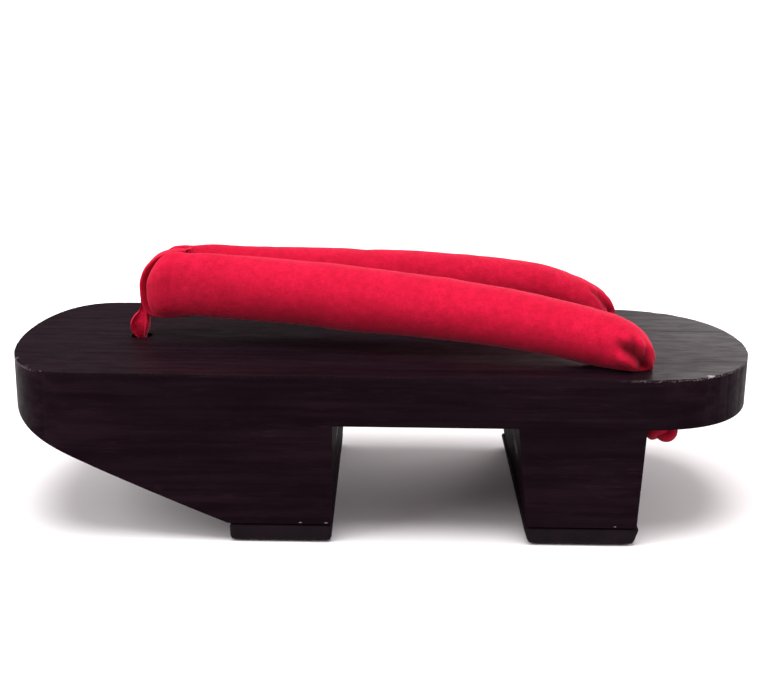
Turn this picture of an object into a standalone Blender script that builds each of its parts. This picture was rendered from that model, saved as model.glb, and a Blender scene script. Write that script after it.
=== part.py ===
"""A geta sandal with a slanted front tooth: a one-piece wooden body carried on two teeth, a rubber tap
under each tooth, and a padded fabric strap held by a toe loop and two rear ties.

Run it with blender --background --python part.py. Units are metres. +X points to the toe, +Y to the
wearer's left and +Z up. The origin is on the floor, under the middle of the body.
"""

import math

import bmesh
import bpy
from mathutils import Matrix, Vector

# The wooden body, seen from above
LENGTH = 0.240
WIDTH = 0.090
TOE_ROUND = 0.028  # length of the toe end over which the sides curve in
HEEL_ROUND = 0.049
CORNER_FULLNESS = 3.0  # 2 gives elliptic ends, more gives blunter ones

# The wooden body, seen from the side
PLATE_THICKNESS = 0.016
TOOTH_HEIGHT = 0.0322  # from the plate's underside to the wood's foot
TOE_LIP = 0.0150  # wood left at the tip of the toe, above the slope
SLOPE_BULGE = 0.0007  # how far the slope swells below a straight line
SLOPE_STRAIGHT_SHARE = 0.88  # of the way to the rounded toe, where the slope's last face starts
TOE_OVERHANG = 0.0724  # from the toe's tip back to the front tooth's foot
FRONT_TOOTH_LENGTH = 0.0324
HEEL_OVERHANG = 0.0390  # from the heel's tip forward to the rear tooth's back
REAR_TOOTH_LENGTH = 0.0392
REAR_TOOTH_FRONT_TAPER = 0.0038
REAR_TOOTH_BACK_TAPER = 0.0013
EDGE_ROUND = 0.0010
TOE_EDGE_ROUND = 0.0030  # the under edge, where it rounds the toe
HEEL_EDGE_ROUND = 0.0050  # the under edge, where it rounds the heel

# The rubber taps
TAP_THICKNESS = 0.0055
TAP_OVERHANG = 0.0012
REAR_TAP_TAPER = 0.0018
FRONT_TAP_TAPER = 0.0003
TAP_EDGE_ROUND = 0.0012
TAP_EDGE_STEPS = 2
FRONT_TAP_SETBACK = 0.0003  # the front tap ends this far behind the foot of the slope

# Gaps between pieces that touch
GLUE_GAP = 0.0003
FABRIC_GAP = 0.0003

# The strap holes
TOE_HOLE_FROM_TIP = 0.0388
TOE_HOLE_RADIUS = 0.0040
TOE_RECESS_RADIUS = 0.0105
REAR_HOLE_RADIUS = 0.0045
REAR_HOLE_ASIDE = 0.0310
REAR_HOLE_BEHIND_TOOTH = 0.0016  # at the top face, behind the tooth's back face
REAR_HOLE_SLANT = math.radians(20)
HOLE_RIM_FLARE = 0.0006

# The padded strap
STRAP_TALL = 0.0220
STRAP_THICK = 0.0160
STRAP_LIFT = 0.0183  # height of its middle over the top face, at the toe
STRAP_NOSE_BEHIND_HOLE = 0.0030
STRAP_END_BEHIND_HOLE = 0.0016
NOSE_ROUND = 0.0080
END_ROUND = 0.0200
NECK_DEPTH = 0.0040  # how far each end of the strap reaches into its hole
NECK_HEIGHT = 0.0037  # how far the neck runs up inside the strap's end
NECK_TOP_SHARE = 0.7  # of the neck's own radius

# The toe loop and the ties
BAND_WIDTH = 0.0080
BAND_THICKNESS = 0.0018
STEM_RISE = 0.0125  # where the stem leaves the band, above the top face
TOE_KNOT_WIDTH = 0.0150
TOE_KNOT_HEIGHT = 0.0095
TIE_KNOT_WIDTH = 0.0105
TIE_KNOT_HEIGHT = 0.0082

# Mesh fineness
END_STEPS = 14
EDGE_STEPS = 3
STRAP_RINGS = 46
STRAP_FIRST_RING = 0.0004  # from each tip of the strap to its first ring
STRAP_END_CROWDING = 0.115  # how much closer the rings lie at the two ends
STRAP_SIDES = 24
BAND_TURN_STEPS = 40
BAND_SIDES = 12
OUTLINE_STEPS = 40
ROUND_SIDES = 28
KNOT_SIDES = 20
KNOT_RINGS = 12
MERGE = 0.00001

# Levels and places that follow from the sizes above
FOOT_Z = TAP_THICKNESS + GLUE_GAP
UNDER_Z = FOOT_Z + TOOTH_HEIGHT
TOP_Z = UNDER_Z + PLATE_THICKNESS
FRONT_TOOTH_FRONT = LENGTH / 2 - TOE_OVERHANG
FRONT_TOOTH_BACK = FRONT_TOOTH_FRONT - FRONT_TOOTH_LENGTH
REAR_TOOTH_BACK = HEEL_OVERHANG - LENGTH / 2
REAR_TOOTH_FRONT = REAR_TOOTH_BACK + REAR_TOOTH_LENGTH
TOE_HOLE_X = LENGTH / 2 - TOE_HOLE_FROM_TIP
REAR_HOLE_X = REAR_TOOTH_BACK - REAR_HOLE_BEHIND_TOOTH
STRAP_NOSE_X = TOE_HOLE_X - STRAP_NOSE_BEHIND_HOLE
STRAP_END_X = REAR_HOLE_X - STRAP_END_BEHIND_HOLE

# One row for each section of the strap's left half, from the nose at the toe to the end at the rear
# hole. run: share of the way along. aside: share of REAR_HOLE_ASIDE. lift: share of STRAP_LIFT.
# tall and thick: shares of STRAP_TALL and STRAP_THICK.
STRAP_COLUMNS = ("run", "aside", "lift", "tall", "thick")
STRAP_ROWS = (
    (0.000, 0.060, 0.87, 0.86, 0.50),
    (0.030, 0.125, 0.93, 0.93, 0.56),
    (0.060, 0.150, 0.975, 0.97, 0.59),
    (0.085, 0.200, 0.99, 0.98, 0.49),
    (0.120, 0.225, 1.00, 0.99, 0.62),
    (0.200, 0.270, 0.99, 0.99, 0.82),
    (0.300, 0.340, 0.95, 1.00, 0.97),
    (0.450, 0.490, 0.89, 0.98, 1.01),
    (0.600, 0.650, 0.82, 0.92, 1.00),
    (0.750, 0.805, 0.68, 0.88, 0.98),
    (0.850, 0.905, 0.52, 0.85, 0.96),
    (0.915, 0.955, 0.37, 0.83, 0.95),
    (0.960, 0.985, 0.25, 0.82, 0.94),
    (1.000, 1.000, 0.12, 0.82, 0.94),
)

# The back limb of the toe loop goes down between the two halves of the strap at this share of the run
CROTCH_SHARE = 0.086

# One row for each level of the toe loop's stem, from the band down to the hole's mouth.
# drop: share of STEM_RISE. ahead: its middle's share of the way from the band's front to the hole.
# reach and spread: half sizes along X and Y, as shares of TOE_HOLE_RADIUS.
STEM_COLUMNS = ("drop", "ahead", "reach", "spread")
STEM_ROWS = (
    (0.00, 0.00, 0.20, 0.70),
    (0.25, 0.22, 0.44, 0.68),
    (0.50, 0.60, 0.70, 0.74),
    (0.72, 0.85, 0.76, 0.80),
    (0.88, 0.95, 0.66, 0.84),
    (1.00, 1.00, 0.58, 0.88),
)


def clear_scene():
    for thing in list(bpy.data.objects):
        bpy.data.objects.remove(thing)


def new_collection(name):
    made = bpy.data.collections.new(name)
    bpy.context.scene.collection.children.link(made)
    return made


def material(name, colour, roughness):
    made = bpy.data.materials.new(name)
    made.use_nodes = True
    shader = made.node_tree.nodes["Principled BSDF"]
    shader.inputs["Base Color"].default_value = (*colour, 1.0)
    shader.inputs["Roughness"].default_value = roughness
    shader.inputs["Metallic"].default_value = 0.0
    return made


def add_object(name, data, collection):
    made = bpy.data.objects.new(name, data)
    collection.objects.link(made)
    return made


def as_helper(thing):
    """A cutter or a guide, which is left out of the solid model."""
    thing.hide_render = True
    thing.display_type = "WIRE"
    return thing


def baked(thing, name, collection):
    """A mesh object with the evaluated shape of thing, which is removed."""
    bpy.context.view_layer.update()
    graph = bpy.context.evaluated_depsgraph_get()
    mesh = bpy.data.meshes.new_from_object(thing.evaluated_get(graph))
    mesh.name = name
    mesh.transform(thing.matrix_world)
    work = bmesh.new()
    work.from_mesh(mesh)
    bmesh.ops.remove_doubles(work, verts=work.verts, dist=MERGE)
    bmesh.ops.recalc_face_normals(work, faces=work.faces)
    work.to_mesh(mesh)
    work.free()
    bpy.data.objects.remove(thing)
    return add_object(name, mesh, collection)


def add_boolean(thing, other, operation):
    step = thing.modifiers.new(operation.lower(), "BOOLEAN")
    step.operation = operation
    step.object = other
    step.solver = "EXACT"
    return step


def slab(name, points, low, high, collection, upright=False):
    """A flat outline extruded from low to high: along Z, or along Y where upright, the outline then
    being (X, Z)."""
    outline = bpy.data.curves.new(name, "CURVE")
    outline.dimensions = "2D"
    outline.fill_mode = "BOTH"
    outline.extrude = (high - low) / 2
    spline = outline.splines.new("POLY")
    spline.points.add(len(points) - 1)
    for point, (across, up) in zip(spline.points, points):
        point.co = (across, up, 0.0, 1.0)
    spline.use_cyclic_u = True
    made = add_object(name, outline, collection)
    middle = (high + low) / 2
    if upright:
        made.rotation_euler = (math.pi / 2, 0.0, 0.0)
        made.location = (0.0, middle, 0.0)
    else:
        made.location = (0.0, 0.0, middle)
    return baked(made, name, collection)


def end_quarter(round_length):
    """(distance in from the straight part, half width) from the tip of an end round to one side."""
    found = []
    for step in range(END_STEPS + 1):
        turn = math.pi / 2 * step / END_STEPS
        along = round_length * math.cos(turn) ** (2 / CORNER_FULLNESS) if step < END_STEPS else 0.0
        found.append((along, WIDTH / 2 * math.sin(turn)))
    return found


def body_outline():
    """The plan of the wooden body, anticlockwise from the toe's tip."""
    toe = [(LENGTH / 2 - TOE_ROUND + along, aside) for along, aside in end_quarter(TOE_ROUND)]
    heel = [(HEEL_ROUND - LENGTH / 2 - along, aside) for along, aside in end_quarter(HEEL_ROUND)]
    left = toe + heel[::-1]
    right = [(along, -aside) for along, aside in left[::-1]]
    return left + right[1:-1]


def slope_points():
    """The toe's slanted underside, from the front tooth's foot up to the tip, swelling a little. Its
    last face starts in the straight sides, behind the rounded toe."""
    foot = Vector((FRONT_TOOTH_FRONT, FOOT_Z))
    tip = Vector((LENGTH / 2, TOP_Z - TOE_LIP))
    chord = tip - foot
    outward = Vector((chord.y, -chord.x)).normalized()
    last_share = (LENGTH / 2 - TOE_ROUND - foot.x) / chord.x * SLOPE_STRAIGHT_SHARE
    shares = (0.0, last_share / 2, last_share, 1.0)
    points = [foot + chord * s + outward * (4 * SLOPE_BULGE * s * (1 - s)) for s in shares]
    beyond = points[-1] + (points[-1] - points[-2]).normalized() * (TOE_LIP / 2)
    return [tuple(p) for p in points[:-1]] + [tuple(beyond)]


def side_profile():
    """The wooden body from the side, anticlockwise, running past both ends."""
    past_end = LENGTH
    slope = slope_points()
    return [
        (-past_end, TOP_Z),
        (-past_end, UNDER_Z),
        (REAR_TOOTH_BACK, UNDER_Z),
        (REAR_TOOTH_BACK + REAR_TOOTH_BACK_TAPER, FOOT_Z),
        (REAR_TOOTH_FRONT - REAR_TOOTH_FRONT_TAPER, FOOT_Z),
        (REAR_TOOTH_FRONT, UNDER_Z),
        (FRONT_TOOTH_BACK, UNDER_Z),
        (FRONT_TOOTH_BACK, FOOT_Z),
        *slope,
        (slope[-1][0], TOP_Z),
    ]


def ease(share):
    share = min(max(share, 0.0), 1.0)
    return share * share * (3 - 2 * share)


def under_edge_round(x):
    """The under edge's rounding: EDGE_ROUND along the straight sides, and more round the toe or heel."""
    if x > 0:
        return EDGE_ROUND + (TOE_EDGE_ROUND - EDGE_ROUND) * ease((x - LENGTH / 2 + TOE_ROUND) / TOE_ROUND)
    return EDGE_ROUND + (HEEL_EDGE_ROUND - EDGE_ROUND) * ease((HEEL_ROUND - LENGTH / 2 - x) / HEEL_ROUND)


def mark_edges(mesh, sharp_angle):
    """Gives each outer edge the share of HEEL_EDGE_ROUND that it is rounded by."""
    work = bmesh.new()
    work.from_mesh(mesh)
    weights = work.edges.layers.float.new("bevel_weight_edge")
    for edge in work.edges:
        if len(edge.link_faces) != 2 or not edge.is_convex:
            continue
        if edge.calc_face_angle() < sharp_angle:
            continue
        middle = (edge.verts[0].co + edge.verts[1].co) / 2
        upper = middle.z > TOP_Z - EDGE_ROUND
        rounding = EDGE_ROUND if upper else under_edge_round(middle.x)
        edge[weights] = rounding / HEEL_EDGE_ROUND
    work.to_mesh(mesh)
    work.free()


def add_bevel(thing, width, limit, segments):
    step = thing.modifiers.new("eased edges", "BEVEL")
    step.width = width
    step.segments = segments
    step.limit_method = limit
    step.use_clamp_overlap = True
    return step


def shade(mesh, angle=math.radians(32)):
    mesh.shade_smooth()
    mesh.set_sharp_from_angle(angle=angle)


def turned(name, profile, collection, matrix=None):
    """A body turned about Z from (radius, height) points listed from the top down."""
    mesh = bpy.data.meshes.new(name)
    mesh.from_pydata([(r, 0.0, z) for r, z in profile], [(i, i + 1) for i in range(len(profile) - 1)], [])
    made = add_object(name, mesh, collection)
    spin = made.modifiers.new("turn", "SCREW")
    spin.steps = ROUND_SIDES
    spin.render_steps = ROUND_SIDES
    spin.use_merge_vertices = True
    spin.merge_threshold = MERGE
    if matrix is not None:
        made.matrix_world = matrix
    return baked(made, name, collection)


def hole_cutter(name, radius, top, bottom, flare, collection, matrix):
    """A round cutter, a little wider at its two rims, which are at heights top and bottom."""
    past = radius
    wide = radius + flare
    profile = [
        (0.0, top + past),
        (wide, top + past),
        (wide, top),
        (radius, top - flare),
        (radius, bottom + flare),
        (wide, bottom),
        (wide, bottom - past),
        (0.0, bottom - past),
    ]
    return as_helper(turned(name, profile, collection, matrix))


def rear_hole_frame(side):
    """The rear hole's axis: its origin is in the top face, and its Z runs up and forward."""
    tilt = Matrix.Rotation(REAR_HOLE_SLANT, 4, "Y")
    return Matrix.Translation((REAR_HOLE_X, side * REAR_HOLE_ASIDE, TOP_Z)) @ tilt


def rear_hole_length():
    return PLATE_THICKNESS / math.cos(REAR_HOLE_SLANT)


def build_body(collection, cutters):
    """The wooden body: its plan and its side view run through each other, then the holes."""
    past = WIDTH
    outline = as_helper(slab("cut_outline", body_outline(), -past, past, cutters))
    block = slab("body_block", side_profile(), -past, past, cutters, upright=True)
    add_boolean(block, outline, "INTERSECT")
    body = baked(block, "dai", collection)
    mark_edges(body.data, math.radians(25))
    add_bevel(body, HEEL_EDGE_ROUND, "WEIGHT", EDGE_STEPS)
    toe_frame = Matrix.Translation((TOE_HOLE_X, 0.0, 0.0))
    flare = HOLE_RIM_FLARE
    toe_hole = hole_cutter("cut_toe_hole", TOE_HOLE_RADIUS, TOP_Z, UNDER_Z, flare, cutters, toe_frame)
    recess_profile = [
        (0.0, UNDER_Z),
        (TOE_RECESS_RADIUS, UNDER_Z),
        (TOE_RECESS_RADIUS, 0.0),
        (0.0, 0.0),
    ]
    recess = as_helper(turned("cut_toe_recess", recess_profile, cutters, toe_frame))
    length = rear_hole_length()
    for tool in (toe_hole, recess):
        add_boolean(body, tool, "DIFFERENCE")
    for side, word in ((1, "left"), (-1, "right")):
        frame = rear_hole_frame(side)
        hole = hole_cutter("cut_hole_" + word, REAR_HOLE_RADIUS, 0.0, -length, flare, cutters, frame)
        add_boolean(body, hole, "DIFFERENCE")
    body = baked(body, "dai", collection)
    shade(body.data)
    return body


def build_tap(name, back_top, front_top, back_taper, front_taper, collection, cutters):
    """A rubber tap, from the floor up to the glue line, between two places along X."""
    profile = [
        (back_top, TAP_THICKNESS),
        (back_top + back_taper, 0.0),
        (front_top - front_taper, 0.0),
        (front_top, TAP_THICKNESS),
    ]
    tap = slab(name + "_block", profile, -WIDTH, WIDTH, cutters, upright=True)
    add_boolean(tap, bpy.data.objects["cut_outline"], "INTERSECT")
    tap = baked(tap, name, collection)
    add_bevel(tap, TAP_EDGE_ROUND, "ANGLE", TAP_EDGE_STEPS)
    shade(tap.data)
    return tap


def build_taps(collection, cutters):
    front = build_tap(
        "front_tap",
        FRONT_TOOTH_BACK,
        FRONT_TOOTH_FRONT - FRONT_TAP_SETBACK,
        FRONT_TAP_TAPER,
        FRONT_TAP_TAPER,
        collection,
        cutters,
    )
    rear = build_tap(
        "rear_tap",
        REAR_TOOTH_BACK + REAR_TOOTH_BACK_TAPER - TAP_OVERHANG,
        REAR_TOOTH_FRONT - REAR_TOOTH_FRONT_TAPER + TAP_OVERHANG,
        REAR_TAP_TAPER,
        REAR_TAP_TAPER,
        collection,
        cutters,
    )
    return [front, rear]


def smooth_row(rows, share):
    """The table's row at a share of its first column, read from a smooth curve through the rows."""
    last = len(rows) - 1
    index = 0
    while index < last - 1 and share > rows[index + 1][0]:
        index += 1
    before, start, end, after = (rows[min(max(index + k, 0), last)] for k in (-1, 0, 1, 2))
    span = end[0] - start[0]
    t = (share - start[0]) / span
    found = []
    for column in range(len(start)):
        slope_in = (end[column] - before[column]) / max(end[0] - before[0], MERGE) * span
        slope_out = (after[column] - start[column]) / max(after[0] - start[0], MERGE) * span
        found.append(
            (2 * t**3 - 3 * t**2 + 1) * start[column]
            + (t**3 - 2 * t**2 + t) * slope_in
            + (-2 * t**3 + 3 * t**2) * end[column]
            + (t**3 - t**2) * slope_out
        )
    return found


def round_off(distance, radius):
    """How full a rounded end is, at a distance in from its tip."""
    share = min(distance / radius, 1.0)
    return math.sqrt(max(1 - (1 - share) ** 2, 0.0))


def strap_section(run):
    """(x, y and z of the middle, half thickness, half height) of the strap at a share of its run."""
    row = dict(zip(STRAP_COLUMNS, smooth_row(STRAP_ROWS, run)))
    length = STRAP_NOSE_X - STRAP_END_X
    x = STRAP_NOSE_X - length * run
    full = round_off(length * run, NOSE_ROUND) * round_off(length * (1 - run), END_ROUND)
    y = row["aside"] * REAR_HOLE_ASIDE
    z = TOP_Z + row["lift"] * STRAP_LIFT
    return x, y, z, row["thick"] * STRAP_THICK / 2 * full, row["tall"] * STRAP_TALL / 2 * full


def strap_runs():
    """Shares of the run for the rings, closer together at the two rounded ends."""
    length = STRAP_NOSE_X - STRAP_END_X
    least = STRAP_FIRST_RING / length
    even = [least + (1 - 2 * least) * k / (STRAP_RINGS - 1) for k in range(STRAP_RINGS)]
    return [s - STRAP_END_CROWDING * math.sin(2 * math.pi * s) for s in even]


def bridged(name, rings, collection):
    """A closed body through rings of the same number of points, with a flat cap on each end."""
    work = bmesh.new()
    made = [[work.verts.new(p) for p in ring] for ring in rings]
    count = len(made[0])
    for first, second in zip(made, made[1:]):
        for k in range(count):
            after = (k + 1) % count
            work.faces.new((first[k], first[after], second[after], second[k]))
    work.faces.new(made[0][::-1])
    work.faces.new(made[-1])
    bmesh.ops.recalc_face_normals(work, faces=work.faces)
    mesh = bpy.data.meshes.new(name)
    work.to_mesh(mesh)
    work.free()
    return add_object(name, mesh, collection)


def strap_rings():
    """Rings of the left half. Where the strap lies on the wood it is pressed flat."""
    lowest = TOP_Z + FABRIC_GAP
    rings = []
    for run in strap_runs():
        x, y, z, half_thick, half_tall = strap_section(run)
        ring = []
        for k in range(STRAP_SIDES):
            turn = 2 * math.pi * k / STRAP_SIDES
            up = z + half_tall * math.sin(turn)
            ring.append((x, y + half_thick * math.cos(turn), max(up, lowest)))
        rings.append(ring)
    return rings


def build_strap(collection, cutters):
    """Both halves of the padded strap, joined over the toe, each with a neck that enters its hole."""
    strap = bridged("hanao_half", strap_rings(), collection)
    radius = REAR_HOLE_RADIUS - FABRIC_GAP
    neck_profile = [
        (0.0, NECK_HEIGHT),
        (radius * NECK_TOP_SHARE, NECK_HEIGHT),
        (radius, 0.0),
        (radius, -NECK_DEPTH),
        (0.0, -NECK_DEPTH),
    ]
    neck = as_helper(turned("join_neck", neck_profile, cutters, rear_hole_frame(1)))
    add_boolean(strap, neck, "UNION")
    strap = baked(strap, "hanao_left", collection)
    mirror = strap.modifiers.new("both sides", "MIRROR")
    mirror.use_axis = (False, True, False)
    mirror.use_bisect_axis = (False, True, False)
    mirror.use_bisect_flip_axis = (False, False, False)
    mirror.use_clip = True
    mirror.merge_threshold = MERGE
    mirror.bisect_threshold = MERGE
    strap = baked(strap, "hanao", collection)
    shade(strap.data, math.radians(60))
    return strap


def crotch_limits():
    """(back, front) along X of the back limb of the toe loop."""
    middle = strap_section(CROTCH_SHARE)[0]
    return middle - BAND_THICKNESS / 2, middle + BAND_THICKNESS / 2


def crotch_half_width():
    """Half the room between the strap's halves at the back limb, less the gap on each side."""
    back, front = crotch_limits()
    length = STRAP_NOSE_X - STRAP_END_X
    rooms = []
    for k in range(OUTLINE_STEPS + 1):
        x = back + (front - back) * k / OUTLINE_STEPS
        _, y, _, half_thick, _ = strap_section((STRAP_NOSE_X - x) / length)
        rooms.append(y - half_thick)
    return min(rooms) - FABRIC_GAP


def junction_outline():
    """(x, z) points round the joined front of the strap, from the side."""
    front = crotch_limits()[1]
    length = STRAP_NOSE_X - STRAP_END_X
    last = (STRAP_NOSE_X - front - FABRIC_GAP) / length
    points = []
    for k in range(OUTLINE_STEPS + 1):
        x, _, z, _, half_tall = strap_section(last * (k / OUTLINE_STEPS) ** 2)
        points += [(x, z + half_tall), (x, z - half_tall)]
    return points


def band_rings():
    """Rings of the toe loop's band: an even offset of the junction's outline. It narrows to pass
    between the strap's halves at the back."""
    points = [Vector(p) for p in junction_outline()]
    offset = FABRIC_GAP + BAND_THICKNESS / 2
    narrow = crotch_half_width()
    wide = BAND_WIDTH / 2
    back = crotch_limits()[1]
    fully_wide = back + BAND_WIDTH
    rings = []
    for k in range(BAND_TURN_STEPS):
        turn = 2 * math.pi * k / BAND_TURN_STEPS
        out = Vector((math.cos(turn), math.sin(turn)))
        support = max(points, key=lambda p: p.dot(out))
        middle = support + out * offset
        half = narrow + (wide - narrow) * ease((support.x - back) / (fully_wide - back))
        ring = []
        for j in range(BAND_SIDES):
            angle = 2 * math.pi * j / BAND_SIDES
            place = middle + out * (BAND_THICKNESS / 2 * math.cos(angle))
            ring.append((place.x, half * math.sin(angle), place.y))
        rings.append(ring)
    return rings


def closed_loop(name, rings, collection):
    """A ring-shaped body through rings of points, the last joined to the first."""
    work = bmesh.new()
    made = [[work.verts.new(p) for p in ring] for ring in rings]
    count = len(made[0])
    for index, first in enumerate(made):
        second = made[(index + 1) % len(made)]
        for k in range(count):
            after = (k + 1) % count
            work.faces.new((first[k], first[after], second[after], second[k]))
    bmesh.ops.recalc_face_normals(work, faces=work.faces)
    mesh = bpy.data.meshes.new(name)
    work.to_mesh(mesh)
    work.free()
    return add_object(name, mesh, collection)


def stem_rings():
    """Rings of the stem: a leaf-shaped fold of the band, then a plug that fills the toe hole."""
    band_x = STRAP_NOSE_X + FABRIC_GAP + BAND_THICKNESS / 2
    plug = TOE_HOLE_RADIUS - FABRIC_GAP
    rings = []
    for row in STEM_ROWS:
        level = dict(zip(STEM_COLUMNS, row))
        x = band_x + (TOE_HOLE_X - band_x) * level["ahead"]
        z = TOP_Z + STEM_RISE * (1 - level["drop"])
        rings.append((x, z, level["reach"] * TOE_HOLE_RADIUS, level["spread"] * TOE_HOLE_RADIUS))
    for z, size in ((TOP_Z - plug, plug), (UNDER_Z - TOE_KNOT_HEIGHT / 2, plug)):
        rings.append((TOE_HOLE_X, z, size, size))
    found = []
    for x, z, reach, spread in rings:
        turns = [2 * math.pi * k / ROUND_SIDES for k in range(ROUND_SIDES)]
        found.append([(x + reach * math.cos(t), spread * math.sin(t), z) for t in turns])
    return found


def knot(name, width, height, place, collection):
    """A round knot, squashed to its height, whose top is just under place."""
    work = bmesh.new()
    bmesh.ops.create_uvsphere(work, u_segments=KNOT_SIDES, v_segments=KNOT_RINGS, radius=0.5)
    size = Matrix.Diagonal((width, width, height, 1.0))
    centre = Vector(place) - Vector((0.0, 0.0, FABRIC_GAP + height / 2))
    bmesh.ops.transform(work, matrix=Matrix.Translation(centre) @ size, verts=work.verts)
    mesh = bpy.data.meshes.new(name)
    work.to_mesh(mesh)
    work.free()
    return as_helper(add_object(name, mesh, collection))


def build_toe_loop(collection, cutters):
    """The band round the strap's front, its stem through the toe hole, and its knot in the recess."""
    loop = closed_loop("maetsubo_band", band_rings(), collection)
    stem = as_helper(bridged("join_stem", stem_rings(), cutters))
    end = knot("join_toe_knot", TOE_KNOT_WIDTH, TOE_KNOT_HEIGHT, (TOE_HOLE_X, 0.0, UNDER_Z), cutters)
    add_boolean(loop, stem, "UNION")
    add_boolean(loop, end, "UNION")
    loop = baked(loop, "maetsubo", collection)
    shade(loop.data, math.radians(60))
    return loop


def build_tie(side, word, collection, cutters):
    """The tie at one rear hole: a cord that fills the hole below the strap's neck, and its knot."""
    frame = rear_hole_frame(side)
    length = rear_hole_length()
    radius = REAR_HOLE_RADIUS - FABRIC_GAP
    cord = turned(
        "tie_cord_" + word,
        [
            (0.0, -NECK_DEPTH - FABRIC_GAP),
            (radius, -NECK_DEPTH - FABRIC_GAP),
            (radius, -length - TIE_KNOT_HEIGHT / 2),
            (0.0, -length - TIE_KNOT_HEIGHT / 2),
        ],
        collection,
        frame,
    )
    mouth = frame @ Vector((0.0, 0.0, -length))
    lump = knot("join_knot_" + word, TIE_KNOT_WIDTH, TIE_KNOT_HEIGHT, mouth, cutters)
    add_boolean(cord, lump, "UNION")
    tie = baked(cord, "tie_" + word, collection)
    shade(tie.data, math.radians(60))
    return tie


def main():
    clear_scene()
    parts = new_collection("geta_sandal")
    cutters = new_collection("cutters")
    wood = material("black stained wood", (0.018, 0.013, 0.016), 0.55)
    rubber = material("black rubber", (0.022, 0.020, 0.022), 0.80)
    fabric = material("red fabric", (0.62, 0.012, 0.060), 0.90)
    body = build_body(parts, cutters)
    body.data.materials.append(wood)
    for tap in build_taps(parts, cutters):
        tap.data.materials.append(rubber)
    strap = build_strap(parts, cutters)
    loop = build_toe_loop(parts, cutters)
    ties = [build_tie(1, "left", parts, cutters), build_tie(-1, "right", parts, cutters)]
    for piece in (strap, loop, *ties):
        piece.data.materials.clear()
        piece.data.materials.append(fabric)


main()
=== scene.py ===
import math

import bmesh
import bpy
from mathutils import Matrix, Vector, noise


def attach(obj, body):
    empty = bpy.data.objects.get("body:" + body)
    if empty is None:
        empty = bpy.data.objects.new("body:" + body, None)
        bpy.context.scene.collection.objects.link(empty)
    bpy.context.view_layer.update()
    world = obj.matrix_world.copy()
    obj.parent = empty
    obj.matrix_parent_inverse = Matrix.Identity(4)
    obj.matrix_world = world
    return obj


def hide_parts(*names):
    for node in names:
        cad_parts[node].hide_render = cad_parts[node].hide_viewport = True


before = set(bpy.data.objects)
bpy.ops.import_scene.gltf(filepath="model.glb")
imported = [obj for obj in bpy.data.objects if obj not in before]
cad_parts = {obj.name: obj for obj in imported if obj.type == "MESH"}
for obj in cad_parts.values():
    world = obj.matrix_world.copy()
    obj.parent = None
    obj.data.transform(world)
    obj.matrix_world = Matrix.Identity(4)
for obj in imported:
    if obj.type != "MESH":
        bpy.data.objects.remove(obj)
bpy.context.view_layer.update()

# Places are in metres unless a name ends in MM. +X points to the toe and +Y to the wearer's left.
MM = 0.001

# The wooden body, as the solid has it
TOP_Z = 0.0540
UNDER_Z = 0.0380
FOOT_Z = 0.0058
LENGTH = 0.240
WIDTH = 0.090
TOE_ROUND = 0.028
HEEL_ROUND = 0.049
CORNER_FULLNESS = 3.0
TOE_LIP = 0.0150
SLOPE_BULGE = 0.0007
SLOPE_STRAIGHT_SHARE = 0.88
FRONT_TOOTH_FRONT = 0.0476
FRONT_TOOTH_BACK = 0.0152
REAR_TOOTH_BACK = -0.0810
REAR_TOOTH_FRONT = -0.0418
REAR_TOOTH_BACK_TAPER = 0.0013
REAR_TOOTH_FRONT_TAPER = 0.0038
EDGE_ROUND = 0.0010
TOE_EDGE_ROUND = 0.0030
HEEL_EDGE_ROUND = 0.0050
RIM_STEP = 0.0007
RIM_SEGMENTS = 4
FINE_STEPS = 1200
SLOPE_PIECES = 8
LEAST_EDGE_ANGLE = math.radians(25)
SHARP_ANGLE = math.radians(50)

# The strap holes
TOE_HOLE_X = 0.0812
TOE_HOLE_RADIUS = 0.0034
TOE_RECESS_RADIUS = 0.0105
REAR_HOLE = Vector((-0.0796, 0.0310, TOP_Z))
REAR_HOLE_RADIUS = 0.0037
REAR_HOLE_SLANT = math.radians(28.5)
HOLE_FLARE = 0.0006
GAP = 0.0003

# The strap's half. Rows: share of the run, aside, height of the middle, half thickness, half height
STRAP_NOSE_X = 0.0779
STRAP_END_X = -0.0842
STRAP_LENGTH = STRAP_NOSE_X - STRAP_END_X
STRAP_LOWEST = TOP_Z + GAP
STRAP_HALF_GAP = 0.00012
STRAP_FIRST_RING = 0.00003
NOSE_ROUND_ASIDE = (0.0040, 3.0)
NOSE_ROUND_TOP = (0.0085, 1.7)
NOSE_ROUND_UNDER = (0.0055, 2.8)
NOSE_BOXINESS = 1.3
NOSE_BOXY_SHARE = 0.10
END_ROUND = (0.0135, 2.5)
STRAP_RINGS = 230
STRAP_SIDES = 88
STRAP_END_CROWDING = 0.125
STRAP_ROWS_MM = (
    (0.000, 2.6, 71.20, 4.20, 9.20),
    (0.030, 4.2, 72.25, 4.90, 10.05),
    (0.060, 4.9, 72.80, 5.00, 10.30),
    (0.085, 6.5, 72.90, 4.50, 10.30),
    (0.120, 7.1, 72.95, 5.30, 10.55),
    (0.200, 8.4, 72.55, 6.60, 10.45),
    (0.300, 10.5, 71.75, 7.75, 10.65),
    (0.450, 15.2, 70.50, 8.10, 10.60),
    (0.600, 20.1, 69.30, 8.00, 9.90),
    (0.750, 25.0, 66.80, 7.90, 9.40),
    (0.850, 28.0, 64.30, 7.90, 9.20),
    (0.915, 29.6, 61.90, 7.90, 8.90),
    (0.960, 30.5, 59.40, 7.90, 9.00),
    (1.000, 31.0, 57.20, 7.90, 8.80),
)
CROTCH_SHARE = 0.086

# The far half's end is shorter than the near one's and sags: its shares are of the run
FAR_END_SHORT = 0.0026
FAR_SAG_START = 0.80
FAR_SAG_SPAN = 0.18
FAR_SAG_MM = 1.5
FAR_FLATTER_MM = 0.6

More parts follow.
